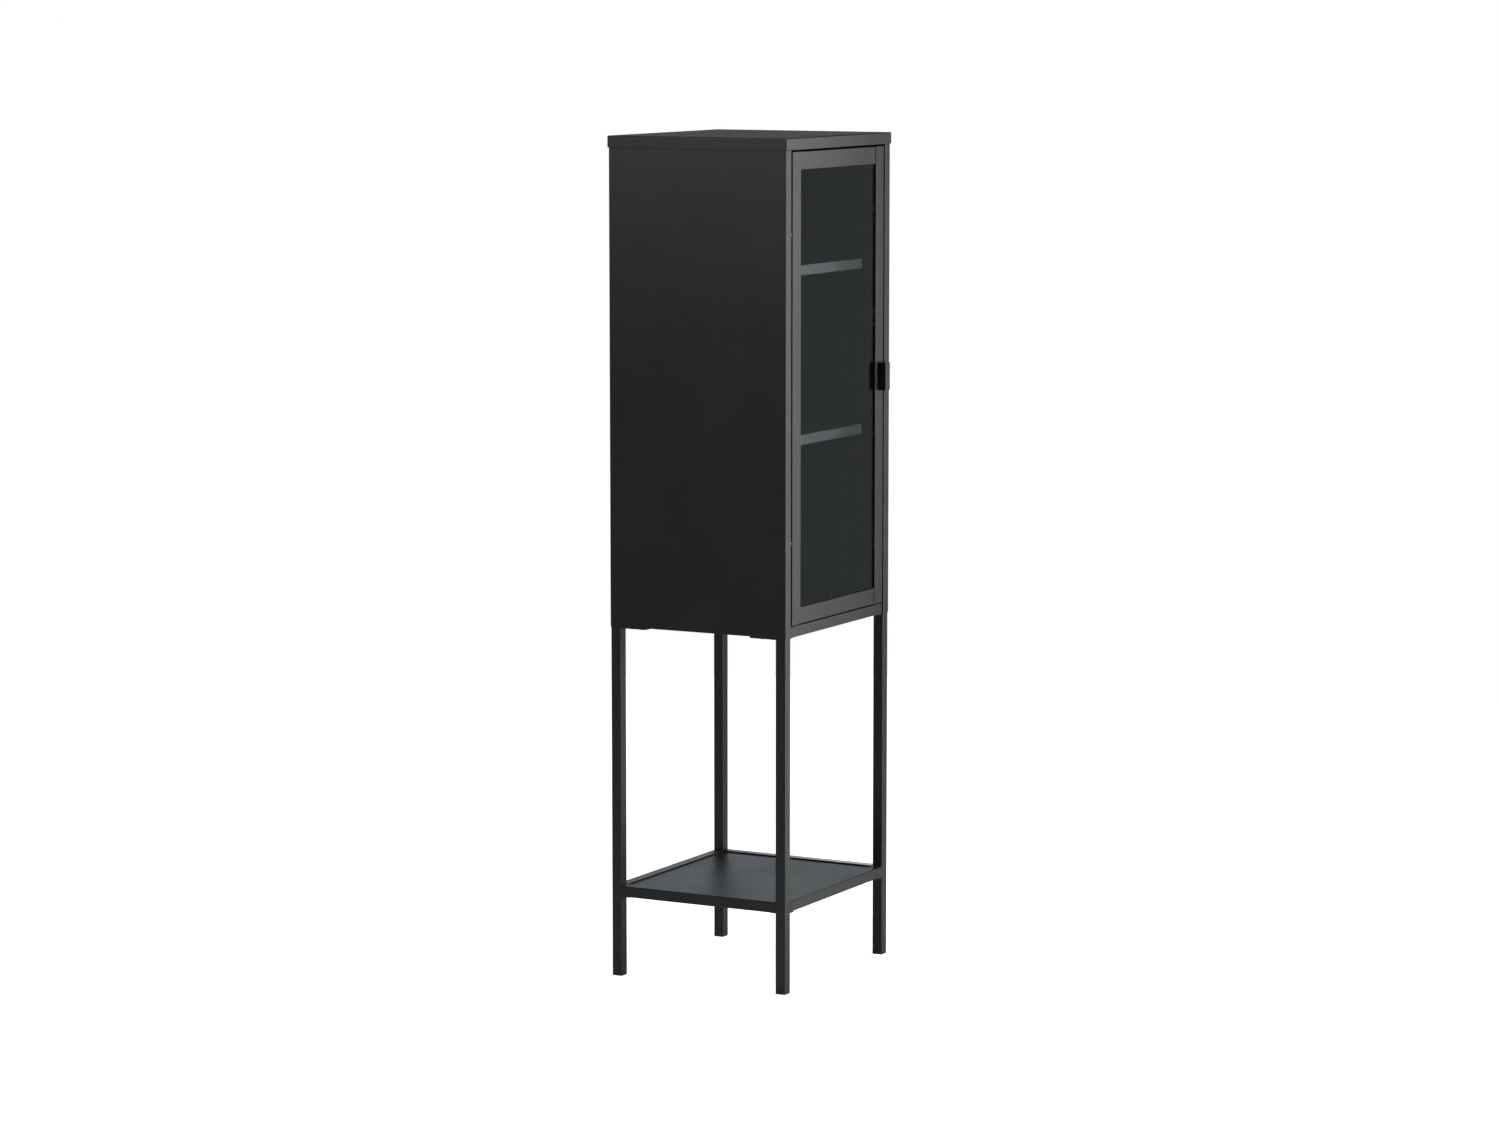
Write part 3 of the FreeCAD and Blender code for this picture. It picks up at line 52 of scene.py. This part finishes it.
# One box shines only on the inner shelves, and the frame in front of them casts no shadow in it.
SHELF_BOX = ("shelf_edges", (1.8, -1.1, 1.25), (0.1, -0.12, 1.15), 0.9, 1.2, 4.0, COOL)
SHELVES = ["shelf_upper", "shelf_lower"]
IN_FRONT = ["door_stile_right", "side_panel_right", "catch_body", "strike_plate", "door_handle"]
# Fill boxes that shine only on the right side and the back, which the other boxes leave almost black.
PANEL_BOXES = [
    ("right_fill", (3.2, 0.6, 1.3), (0.2, 0.0, 1.0), 1.8, 1.4, 20.0, PLAIN),
    ("back_fill", (0.0, 3.2, 1.2), (0.0, 0.2, 1.0), 3.6, 1.6, 40.0, PLAIN),
]
FAR_PANELS = ["side_panel_right", "back_panel", "back_screws", "base_rail_right", "base_rail_rear"]
# One fill box shines only on the pieces whose edges outline the cabinet from behind.
REAR_EDGE_BOX = ("rear_edge_fill", (1.05, 3.2, 0.8), (0.0, 0.2, 0.8), 1.6, 1.4, 20.0, PLAIN)
REAR_EDGES = ["side_panel_left", "top_panel"] + [
    "leg_" + corner for corner in ("front_left", "front_right", "rear_left", "rear_right")
]
ROOM_COLOUR = (0.96, 1.0, 1.04, 1.0)
ROOM_LIGHT = 0.143
BACKDROP_LIGHT = 1.0
WHITE = (1.0, 1.0, 1.0, 1.0)
FLOOR_RADIUS = 3.6
FLOOR_SIDES = 128
FLOOR_GLOW = 0.92


def set_camera():
    """The fixed camera that sees the cabinet as in the main view."""
    data = bpy.data.cameras.new("camera")
    data.sensor_width = SENSOR_MM
    data.lens = LENS_MM
    data.clip_start = CLIP_NEAR
    data.clip_end = CLIP_FAR
    camera = bpy.data.objects.new("camera", data)
    camera.location = CAMERA_AT
    camera.rotation_euler = [math.radians(turn) for turn in CAMERA_TURN]
    bpy.context.collection.objects.link(camera)
    bpy.context.scene.camera = camera


def soft_box(name, place, aim, width, height, power, colour):
    """A rectangular lamp turned towards a point, and hidden from the camera."""
    data = bpy.data.lights.new(name, "AREA")
    data.shape = "RECTANGLE"
    data.size = width
    data.size_y = height
    data.energy = power
    data.color = colour
    light = bpy.data.objects.new(name, data)
    light.location = place
    light.rotation_euler = (Vector(aim) - Vector(place)).to_track_quat("-Z", "Y").to_euler()
    light.visible_camera = False
    bpy.context.collection.objects.link(light)
    return light


def linked(name, nodes, state):
    """A collection that a light's linking uses to include or exclude the given CAD nodes."""
    group = bpy.data.collections.new(name)
    for node in nodes:
        group.objects.link(frame["nodes"][node])
    for entry in group.collection_objects:
        entry.light_linking.link_state = state
    return group


def set_lights():
    """All soft boxes, and the linking of those that shine on a few nodes only."""
    for box in SOFT_BOXES:
        soft_box(*box)
    far_panels = linked("lit_far_panels", FAR_PANELS, "INCLUDE")
    for box in PANEL_BOXES:
        soft_box(*box).light_linking.receiver_collection = far_panels
    rear_edges = linked("lit_rear_edges", REAR_EDGES, "INCLUDE")
    soft_box(*REAR_EDGE_BOX).light_linking.receiver_collection = rear_edges
    kicker = soft_box(*SHELF_BOX)
    kicker.light_linking.receiver_collection = linked("lit_shelves", SHELVES, "INCLUDE")
    kicker.light_linking.blocker_collection = linked("see_through", IN_FRONT, "EXCLUDE")


def set_room():
    """A white backdrop for the eye, and a dim even room for everything that the cabinet reflects."""
    world = bpy.data.worlds.new("room")
    world.use_nodes = True
    tree = world.node_tree
    tree.nodes.clear()
    output = tree.nodes.new("ShaderNodeOutputWorld")
    mix = tree.nodes.new("ShaderNodeMixShader")
    path = tree.nodes.new("ShaderNodeLightPath")
    room = tree.nodes.new("ShaderNodeBackground")
    room.inputs["Color"].default_value = ROOM_COLOUR
    room.inputs["Strength"].default_value = ROOM_LIGHT
    backdrop = tree.nodes.new("ShaderNodeBackground")
    backdrop.inputs["Color"].default_value = WHITE
    backdrop.inputs["Strength"].default_value = BACKDROP_LIGHT
    tree.links.new(path.outputs["Is Camera Ray"], mix.inputs[0])
    tree.links.new(room.outputs[0], mix.inputs[1])
    tree.links.new(backdrop.outputs[0], mix.inputs[2])
    tree.links.new(mix.outputs[0], output.inputs[0])
    bpy.context.scene.world = world
    bpy.context.scene.view_settings.view_transform = "Standard"


# ---------------------------------------------------------------- materials
# Distances in metres: how wide each finish is worn along its edges, and how far painted shade reaches
# into a gap.
COAT_RUB = 0.0012
PLASTIC_RUB = 0.0006
METAL_RUB = 0.0004
GAP_SHADE_REACH = 0.006
# Colour of the painted shade deep in a gap, and samples of the two nodes that look around a point.
GAP_PAINTED_SHADE = (0.001, 0.001, 0.001)
AO_SAMPLES = 6
BEVEL_SAMPLES = 4


class Surface:
    """A node material with a Principled shader, and short calls for the nodes that feed it."""

    def __init__(self, name, metallic=0.0, ior=1.5):
        self.material = bpy.data.materials.new(name)
        self.material.use_nodes = True
        self.tree = self.material.node_tree
        self.tree.nodes.clear()
        self.output = self.tree.nodes.new("ShaderNodeOutputMaterial")
        self.shader = self.tree.nodes.new("ShaderNodeBsdfPrincipled")
        self.shader.inputs["Metallic"].default_value = metallic
        self.shader.inputs["IOR"].default_value = ior
        self.link(self.shader.outputs[0], self.output.inputs[0])
        self.place = self.tree.nodes.new("ShaderNodeTexCoord").outputs["Object"]

    def link(self, source, target):
        self.tree.links.new(source, target)

    def noise(self, scale, detail=2.0, rough=0.5):
        node = self.tree.nodes.new("ShaderNodeTexNoise")
        node.inputs["Scale"].default_value = scale
        node.inputs["Detail"].default_value = detail
        node.inputs["Roughness"].default_value = rough
        self.link(self.place, node.inputs["Vector"])
        return node.outputs["Fac"]

    def spread(self, value, low, high, start=0.3, stop=0.7):
        """The value's range from start to stop, spread out from low to high."""
        node = self.tree.nodes.new("ShaderNodeMapRange")
        node.inputs["From Min"].default_value = start
        node.inputs["From Max"].default_value = stop
        node.inputs["To Min"].default_value = low
        node.inputs["To Max"].default_value = high
        self.link(value, node.inputs["Value"])
        return node.outputs[0]

    def math(self, kind, first, second):
        node = self.tree.nodes.new("ShaderNodeMath")
        node.operation = kind
        for socket, value in zip(node.inputs, (first, second)):
            if isinstance(value, (int, float)):
                socket.default_value = value
            else:
                self.link(value, socket)
        return node.outputs[0]

    def blend(self, factor, first, second):
        """A colour between first and second, each a colour or another node's output."""
        node = self.tree.nodes.new("ShaderNodeMix")
        node.data_type = "RGBA"
        self.link(factor, node.inputs[0])
        for socket, value in ((node.inputs[6], first), (node.inputs[7], second)):
            if isinstance(value, tuple):
                socket.default_value = (*value, 1.0)
            else:
                self.link(value, socket)
        return node.outputs[2]

    def open_to_light(self, reach):
        """1 on surfaces open to the room, down to 0 deep in gaps much narrower than the reach: the mask
        of the painted gap shade.
        """
        node = self.tree.nodes.new("ShaderNodeAmbientOcclusion")
        node.samples = AO_SAMPLES
        node.inputs["Distance"].default_value = reach
        return self.spread(node.outputs["AO"], 0.0, 1.0, 0.25, 0.7)

    def edges(self, radius):
        """1 where the surface turns within the radius, 0 on the flats."""
        bevel = self.tree.nodes.new("ShaderNodeBevel")
        bevel.samples = BEVEL_SAMPLES
        bevel.inputs["Radius"].default_value = radius
        geometry = self.tree.nodes.new("ShaderNodeNewGeometry")
        dot = self.tree.nodes.new("ShaderNodeVectorMath")
        dot.operation = "DOT_PRODUCT"
        self.link(bevel.outputs[0], dot.inputs[0])
        self.link(geometry.outputs["Normal"], dot.inputs[1])
        return self.spread(dot.outputs["Value"], 1.0, 0.0, 0.75, 0.98)

    def folds(self):
        """Two masks over the rounded folds, which no flat face has: all folds, and those that turn up."""
        split = self.tree.nodes.new("ShaderNodeSeparateXYZ")
        self.link(self.tree.nodes.new("ShaderNodeTexCoord").outputs["Normal"], split.inputs[0])
        across, along, up = (self.math("ABSOLUTE", axis, 0.0) for axis in split.outputs)
        flat = self.math("MAXIMUM", self.math("MAXIMUM", across, along), up)
        fold = self.spread(flat, 1.0, 0.0, 0.95, 0.998)
        upward = self.math("MULTIPLY", fold, self.spread(split.outputs[2], 0.0, 1.0, 0.10, 0.25))
        return fold, upward

    def bump(self, height, depth, below=None):
        """A normal raised by the height, up to the depth in metres, over the normal below."""
        node = self.tree.nodes.new("ShaderNodeBump")
        node.inputs["Strength"].default_value = 1.0
        node.inputs["Distance"].default_value = depth
        self.link(height, node.inputs["Height"])
        if below:
            self.link(below, node.inputs["Normal"])
        return node.outputs[0]

    def swap_for(self, rays, other):
        """The other shader takes the place of the main one for one kind of ray."""
        path = self.tree.nodes.new("ShaderNodeLightPath")
        mix = self.tree.nodes.new("ShaderNodeMixShader")
        self.link(path.outputs[rays], mix.inputs[0])
        self.link(self.shader.outputs[0], mix.inputs[1])
        self.link(other, mix.inputs[2])
        self.link(mix.outputs[0], self.output.inputs[0])

    def finish(self, colour, roughness, normal=None):
        self.link(colour, self.shader.inputs["Base Color"])
        self.link(roughness, self.shader.inputs["Roughness"])
        if normal:
            self.link(normal, self.shader.inputs["Normal"])
        return self.material


def powder_coat(name, painted_fold_shade):
    """Satin dark grey powder coat: fine orange peel, a slight mottle, glossier, rubbed folds, and painted
    shade in the gaps.

    With the fold shade set, the folds that turn up lose their gloss instead and read as thin dark lines:
    painted shade.
    """
    s = Surface(name)
    mottle = s.noise(7.0, 4.0, 0.6)
    speckle = s.noise(1400.0, 1.0)
    flat = s.blend(s.spread(mottle, 0.0, 1.0), (0.0050, 0.0052, 0.0056), (0.0075, 0.0079, 0.0084))
    flat = s.blend(s.spread(speckle, 0.0, 0.35, 0.45, 0.75), flat, (0.014, 0.0145, 0.0155))
    rub = s.math("MULTIPLY", s.edges(COAT_RUB), s.spread(s.noise(60.0, 3.0), 0.1, 0.75))
    colour = s.blend(rub, flat, (0.030, 0.031, 0.033))
    fold, upward = s.folds()
    gloss = s.math("ADD", 0.5, s.math("MULTIPLY", fold, s.spread(s.noise(25.0, 3.0), 0.25, 0.45)))
    # Painted shade: the folds that turn up lose their gloss and read as dark lines.
    if painted_fold_shade:
        gloss = s.math("MULTIPLY", gloss, s.spread(upward, 1.0, 0.05, 0.0, 1.0))
    # Painted shade: colour and gloss go black down in the door gaps and the seams, where shade falls.
    unshaded = s.open_to_light(GAP_SHADE_REACH)
    colour = s.blend(unshaded, GAP_PAINTED_SHADE, colour)
    s.link(s.math("MULTIPLY", gloss, unshaded), s.shader.inputs["Specular IOR Level"])
    rough = s.math("ADD", s.spread(mottle, 0.37, 0.43), s.spread(s.noise(220.0, 2.0), -0.03, 0.03))
    peel = s.bump(s.noise(620.0, 2.0, 0.55), 0.00006)
    grain = s.bump(speckle, 0.00002, below=peel)
    return s.finish(colour, rough, grain)


def clear_glass():
    """Clear float glass with a faint blue-grey tint and a breath of dust."""
    s = Surface("float_glass")
    s.shader.inputs["Roughness"].default_value = 0.0
    s.shader.inputs["Transmission Weight"].default_value = 1.0
    s.shader.inputs["Specular Tint"].default_value = (0.86, 0.95, 1.0, 1.0)
    dust = s.spread(s.noise(5.0, 5.0, 0.65), 0.0, 1.0, 0.35, 0.75)
    s.link(s.blend(dust, (0.93, 0.975, 1.0), (0.90, 0.94, 0.97)), s.shader.inputs["Base Color"])
    clear = s.tree.nodes.new("ShaderNodeBsdfTransparent")
    clear.inputs["Color"].default_value = (0.84, 0.87, 0.86, 1.0)
    s.swap_for("Is Shadow Ray", clear.outputs[0])
    return s.material


def rubber():
    """Matt black foam strip with fine open pores."""
    s = Surface("seal_rubber")
    s.shader.inputs["Specular IOR Level"].default_value = 0.08
    fine = s.noise(900.0, 3.0)
    colour = s.blend(s.spread(fine, 0.0, 1.0), (0.003, 0.003, 0.003), (0.007, 0.007, 0.0075))
    return s.finish(colour, s.spread(fine, 0.7, 0.9), s.bump(fine, 0.00004))


def nylon():
    """Dark, slightly translucent nylon of the glass clips."""
    s = Surface("nylon_clip", ior=1.53)
    s.shader.inputs["Subsurface Weight"].default_value = 0.25
    s.shader.inputs["Subsurface Scale"].default_value = 0.002
    cloud = s.noise(160.0, 3.0)
    colour = s.blend(s.spread(cloud, 0.0, 1.0), (0.060, 0.061, 0.063), (0.085, 0.087, 0.090))
    return s.finish(colour, s.spread(s.noise(500.0), 0.3, 0.42), s.bump(cloud, 0.00003))


def moulded_plastic():
    """Black moulded plastic of the catch body and the foot plugs, paler along worn edges."""
    s = Surface("moulded_plastic")
    fine = s.noise(1100.0, 2.0)
    wear = s.math("MULTIPLY", s.edges(PLASTIC_RUB), s.spread(s.noise(90.0, 3.0), 0.2, 0.9))
    flat = s.blend(s.spread(s.noise(30.0, 3.0), 0.0, 1.0), (0.014, 0.014, 0.015), (0.022, 0.022, 0.023))
    colour = s.blend(wear, flat, (0.05, 0.05, 0.052))
    return s.finish(colour, s.spread(fine, 0.42, 0.58), s.bump(fine, 0.00004))


def zinc_plate():
    """Dull zinc plating of the pins, nuts, catch metal and some screws, brighter along worn edges."""
    s = Surface("zinc_plating", metallic=1.0)
    cloud = s.noise(120.0, 4.0, 0.6)
    wear = s.edges(METAL_RUB)
    flat = s.blend(s.spread(cloud, 0.0, 1.0), (0.36, 0.37, 0.39), (0.50, 0.505, 0.51))
    colour = s.blend(wear, flat, (0.74, 0.74, 0.73))
    return s.finish(colour, s.spread(s.noise(420.0, 3.0), 0.34, 0.5), s.bump(s.noise(800.0), 0.00002))


def black_screws():
    """Black oxide on the screws and bolts, paler along worn edges."""
    s = Surface("black_oxide", metallic=0.6)
    fine = s.noise(700.0, 3.0)
    flat = s.blend(s.spread(fine, 0.0, 1.0), (0.014, 0.014, 0.015), (0.030, 0.030, 0.032))
    colour = s.blend(s.edges(METAL_RUB), flat, (0.10, 0.10, 0.10))
    return s.finish(colour, s.spread(fine, 0.36, 0.5), s.bump(fine, 0.00003))


def paper_floor():
    """Pale paper that glows to the camera, so that it meets the white backdrop with a trace of shadow."""
    s = Surface("studio_floor")
    grain = s.noise(300.0, 3.0)
    colour = s.blend(s.spread(grain, 0.0, 1.0), (0.90, 0.90, 0.90), (0.92, 0.92, 0.92))
    s.finish(colour, s.spread(grain, 0.85, 0.95))
    glow = s.tree.nodes.new("ShaderNodeEmission")
    glow.inputs["Strength"].default_value = FLOOR_GLOW
    both = s.tree.nodes.new("ShaderNodeAddShader")
    s.link(s.shader.outputs[0], both.inputs[0])
    s.link(glow.outputs[0], both.inputs[1])
    s.swap_for("Is Camera Ray", both.outputs[0])
    return s.material


# Pieces whose folds that turn up read dark, as thin lines of painted shade.
FOLD_SHADE_PIECES = ["top_panel", "base_shelf"] + [
    "base_rail_" + side for side in ("front", "rear", "left", "right")
]


def dress_nodes():
    """Each CAD node takes the material of its slot."""
    finishes = {
        "coated_steel": powder_coat("satin_powder_coat", False),
        "glass": clear_glass(),
        "seal": rubber(),
        "clear_plastic": nylon(),
        "black_plastic": moulded_plastic(),
        "zinc": zinc_plate(),
        "black_screw": black_screws(),
    }
    # The coat with painted shade along the folds that turn up.
    fold_shade_coat = powder_coat("satin_powder_coat_fold_shade", True)
    slots = {part["node"]: part["material_slot"] for part in frame["record"]["subparts"]}
    for name, node in frame["nodes"].items():
        for slot in node.material_slots:
            slot.material = fold_shade_coat if name in FOLD_SHADE_PIECES else finishes[slots[name]]


def lay_floor():
    """A round floor, which is staging and not part of the object."""
    mesh = bpy.data.meshes.new("floor")
    grid = bmesh.new()
    bmesh.ops.create_circle(grid, cap_ends=True, segments=FLOOR_SIDES, radius=FLOOR_RADIUS)
    grid.to_mesh(mesh)
    grid.free()
    floor = bpy.data.objects.new("floor", mesh)
    mesh.materials.append(paper_floor())
    bpy.context.collection.objects.link(floor)


set_camera()
set_lights()
set_room()
lay_floor()
dress_nodes()
